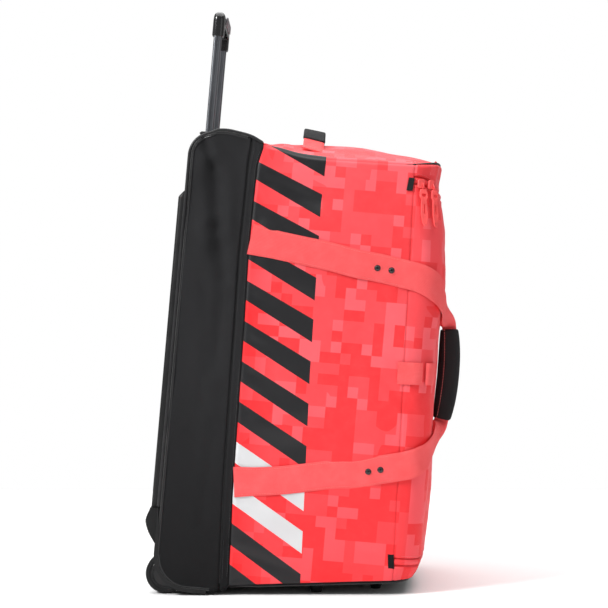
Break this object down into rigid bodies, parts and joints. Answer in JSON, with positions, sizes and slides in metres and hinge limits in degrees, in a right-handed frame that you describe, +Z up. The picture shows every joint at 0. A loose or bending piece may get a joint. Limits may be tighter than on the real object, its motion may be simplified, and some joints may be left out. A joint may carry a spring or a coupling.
{
  "type": "wheeled travel bag",
  "caption": "Soft travel bag with a structured back compartment, wheels, skid rails, a telescoping handle, carry straps with a grip, and a front flap on a zip.",
  "frame": {"origin": "on the floor, under the centre of the whole bag's box, with the bag standing on its wheels and feet", "axes": "+Z up, +X towards the bag's front, the side with the flap and the carry grip; the wheels are at -X"},
  "size_m": [0.5732, 0.4212, 1.0421],
  "materials": {
    "patterned_cloth": "coated woven cloth, satin",
    "black_cloth": "coarse woven cloth",
    "piping": "cloth-covered cord",
    "coral_webbing": "woven webbing",
    "coral_rubber": "moulded, matte",
    "black_plastic": "fine moulded texture",
    "grip_plastic": "gloss",
    "grey_plastic": "soft touch",
    "hub_plastic": "moulded",
    "tube_aluminium": "anodised",
    "steel": "brushed",
    "rivet": "black enamel",
    "tyre": "moulded rubber"
  },
  "bodies": {
    "bag": {"upper_shell": "patterned_cloth", "front_flap": "patterned_cloth", "main_zip": "patterned_cloth", "base_shell": "black_cloth", "base_zip_strip": "black_cloth", "piping_left": "piping", "piping_right": "piping", "skid_rail_left": "black_plastic", "skid_rail_right": "black_plastic", "wheel_housing_left": "black_plastic", "wheel_housing_right": "black_plastic", "axle_left": "steel", "axle_right": "steel", "tube_sleeve_left": "tube_aluminium", "tube_sleeve_right": "tube_aluminium", "handle_bezel": "black_plastic", "handle_bracket": "black_plastic", "carry_strap_left": "coral_webbing", "carry_strap_right": "coral_webbing", "carry_grip": "black_cloth", "rivet_left_1": "rivet", "rivet_left_2": "rivet", "rivet_left_3": "rivet", "rivet_left_4": "rivet", "rivet_right_1": "rivet", "rivet_right_2": "rivet", "rivet_right_3": "rivet", "rivet_right_4": "rivet", "top_handle_webbing": "coral_webbing", "top_handle_wrap": "black_cloth", "side_tab_left": "coral_webbing", "side_tab_right": "coral_webbing", "zip_slider_1": "rivet", "zip_slider_2": "rivet", "zip_puller_1": "coral_rubber", "zip_puller_2": "coral_rubber", "zip_end_tab_top": "black_cloth", "zip_end_tab_bottom": "black_cloth", "foot_rear_left": "black_plastic", "foot_rear_right": "black_plastic", "foot_front_left": "black_plastic", "foot_front_right": "black_plastic"},
    "pull_handle": {"pull_grip": "grip_plastic", "grip_pad": "grey_plastic", "pull_tube_left": "tube_aluminium", "pull_tube_right": "tube_aluminium"},
    "wheel_left": {"tyre_left": "tyre", "hub_left": "hub_plastic"},
    "wheel_right": {"tyre_right": "tyre", "hub_right": "hub_plastic"}
  },
  "joints": [
    {"name": "handle_slide", "type": "slide", "parent": "bag", "child": "pull_handle", "axis": [0.0872, 0, 0.9962], "range_m": [-0.17, 0]},
    {"name": "wheel_left_spin", "type": "hinge", "parent": "bag", "child": "wheel_left", "pos_m": [-0.25122, -0.165, 0.0355], "axis": [0, 1, 0], "continuous": true},
    {"name": "wheel_right_spin", "type": "hinge", "parent": "bag", "child": "wheel_right", "pos_m": [-0.25122, 0.165, 0.0355], "axis": [0, 1, 0], "continuous": true}
  ]
}
